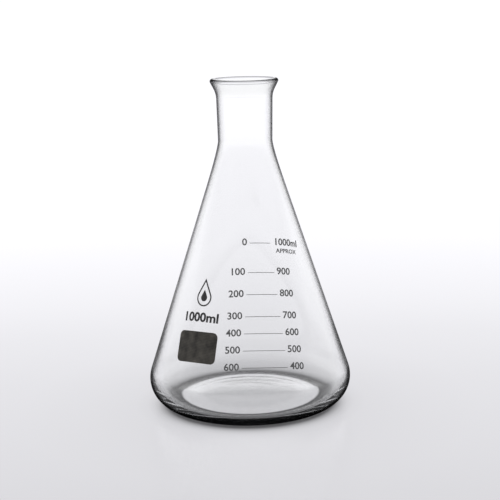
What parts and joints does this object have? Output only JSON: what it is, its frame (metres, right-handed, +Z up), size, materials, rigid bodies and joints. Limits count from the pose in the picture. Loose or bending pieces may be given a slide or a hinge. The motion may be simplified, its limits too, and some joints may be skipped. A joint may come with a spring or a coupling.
{
  "type": "erlenmeyer flask",
  "caption": "Conical laboratory flask of clear glass with a narrow neck, a flared and beaded rim, a graduated scale and a marking patch.",
  "frame": {"origin": "middle of the flat ring that the flask rests on, at table height", "axes": "+Z up along the flask's axis; the graduated scale faces -Y"},
  "size_m": [0.1318, 0.1318, 0.213],
  "materials": {
    "clear_glass": "fire-polished clear borosilicate glass",
    "scale_enamel": "matt fired enamel print",
    "patch_enamel": "matt fired enamel, fine mesh texture"
  },
  "bodies": {
    "root": {"glass_body": "clear_glass", "graduation_400": "scale_enamel", "graduation_500": "scale_enamel", "graduation_600": "scale_enamel", "graduation_700": "scale_enamel", "graduation_800": "scale_enamel", "graduation_900": "scale_enamel", "graduation_1000": "scale_enamel", "drop_mark": "scale_enamel", "marking_patch": "patch_enamel"}
  },
  "joints": []
}
